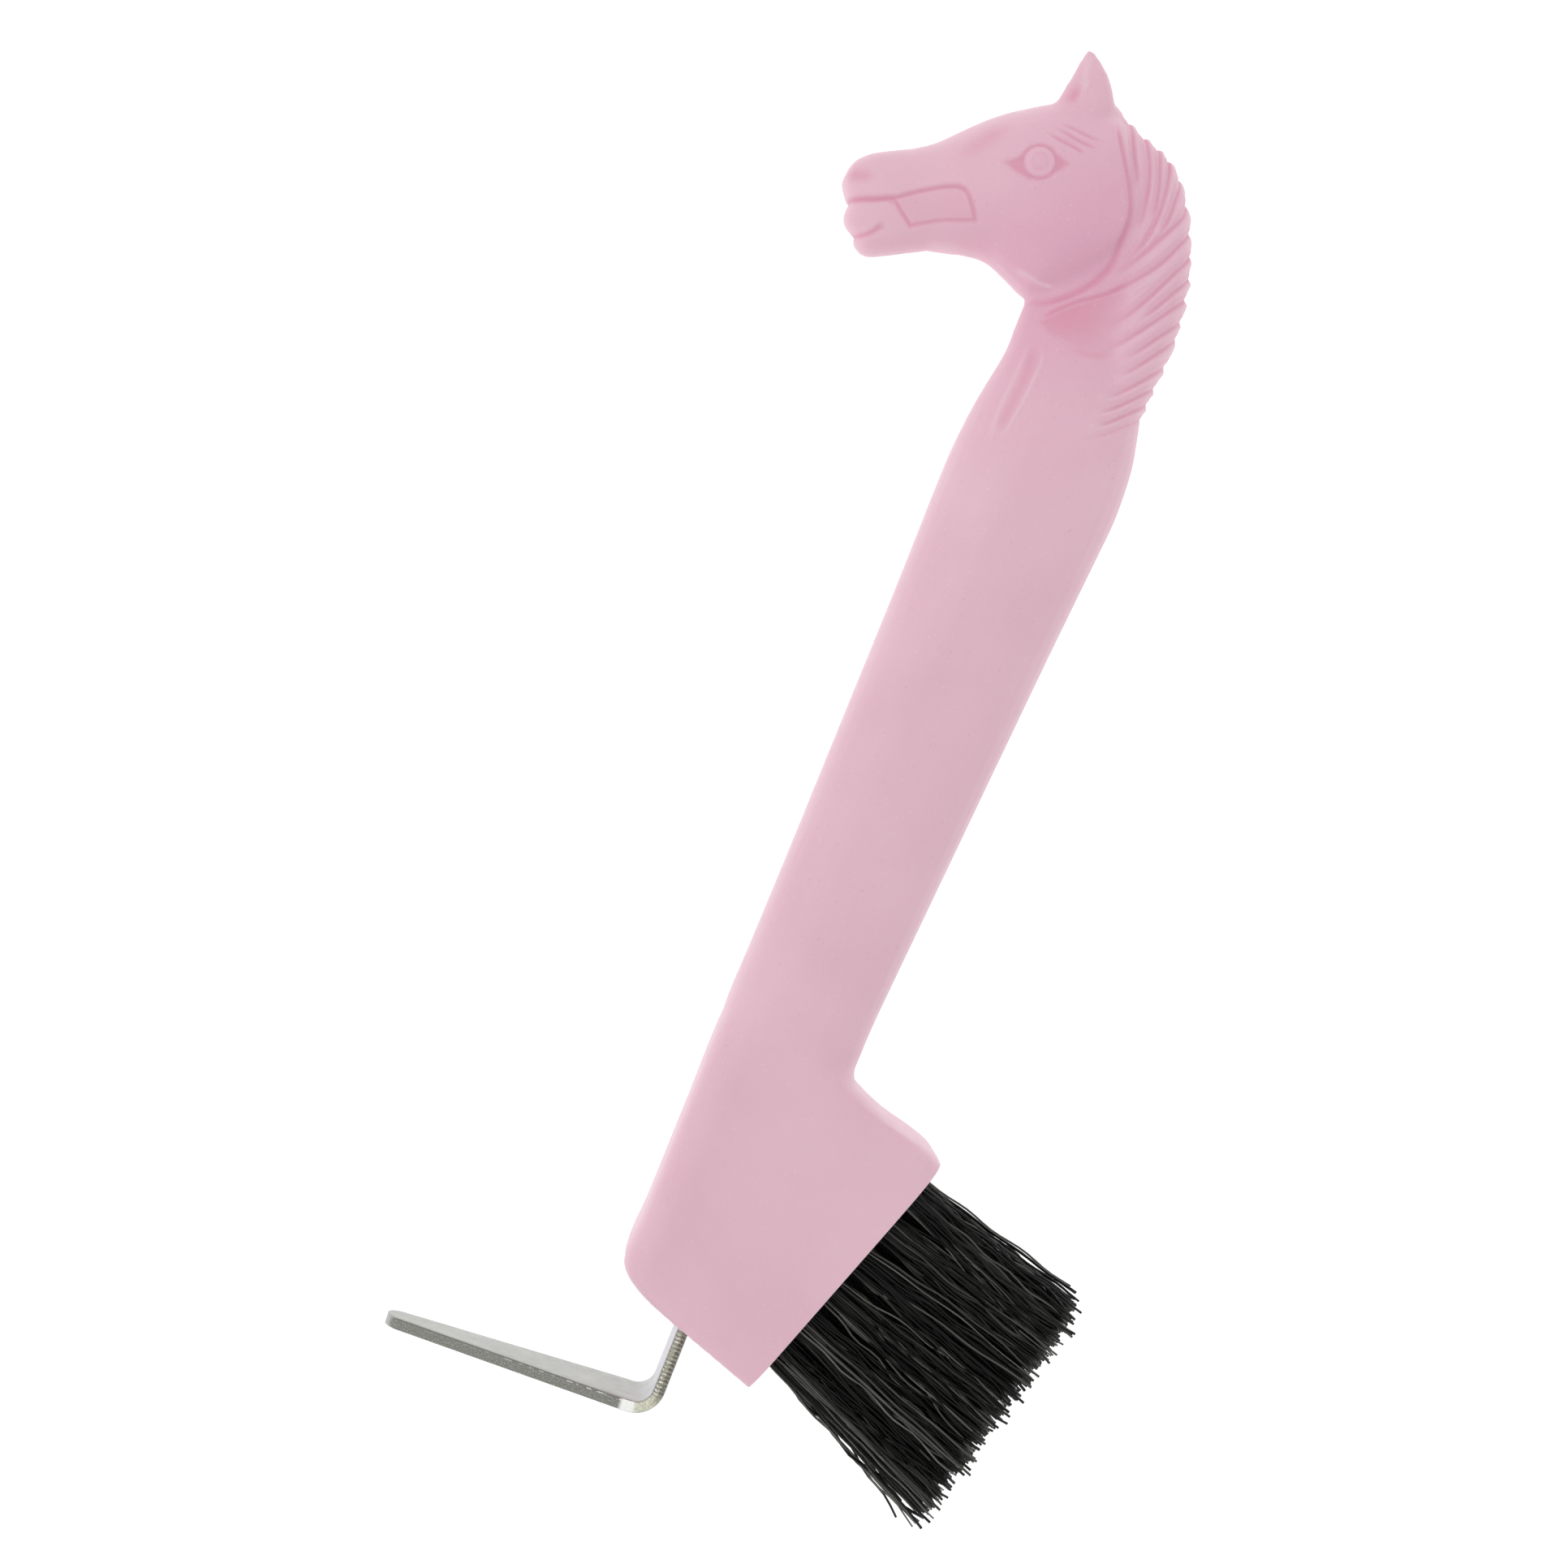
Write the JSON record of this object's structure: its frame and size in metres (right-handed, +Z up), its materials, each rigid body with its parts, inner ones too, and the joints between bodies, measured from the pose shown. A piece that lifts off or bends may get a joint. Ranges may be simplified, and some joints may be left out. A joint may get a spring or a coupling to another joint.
{
  "type": "hoof pick with brush",
  "caption": "Hoof pick with a bent steel pick and a stiff brush set in a moulded plastic handle that ends in a horse's head.",
  "frame": {"origin": "on the brush head's flat side, where the grip's axis passes the middle of the brush", "axes": "+Z up the grip to the horse's head, +X out of the brush, -X towards the tip of the pick, +Y out of the flat side that the origin is on"},
  "size_m": [0.1099, 0.022, 0.2359],
  "materials": {
    "handle_plastic": "satin pink moulded plastic",
    "plated_steel": "dull zinc plate with sheared edges",
    "bristle": "black crimped filament",
    "anchor_wire": "drawn wire"
  },
  "bodies": {
    "root": {"handle": "handle_plastic", "pick": "plated_steel", "tuft_left_1": "bristle", "tuft_left_2": "bristle", "tuft_left_3": "bristle", "tuft_left_4": "bristle", "tuft_left_5": "bristle", "tuft_left_6": "bristle", "tuft_middle_1": "bristle", "tuft_middle_2": "bristle", "tuft_middle_3": "bristle", "tuft_middle_4": "bristle", "tuft_middle_5": "bristle", "tuft_right_1": "bristle", "tuft_right_2": "bristle", "tuft_right_3": "bristle", "tuft_right_4": "bristle", "tuft_right_5": "bristle", "tuft_right_6": "bristle", "tuft_anchors_left": "anchor_wire", "tuft_anchors_middle": "anchor_wire", "tuft_anchors_right": "anchor_wire"}
  },
  "joints": []
}
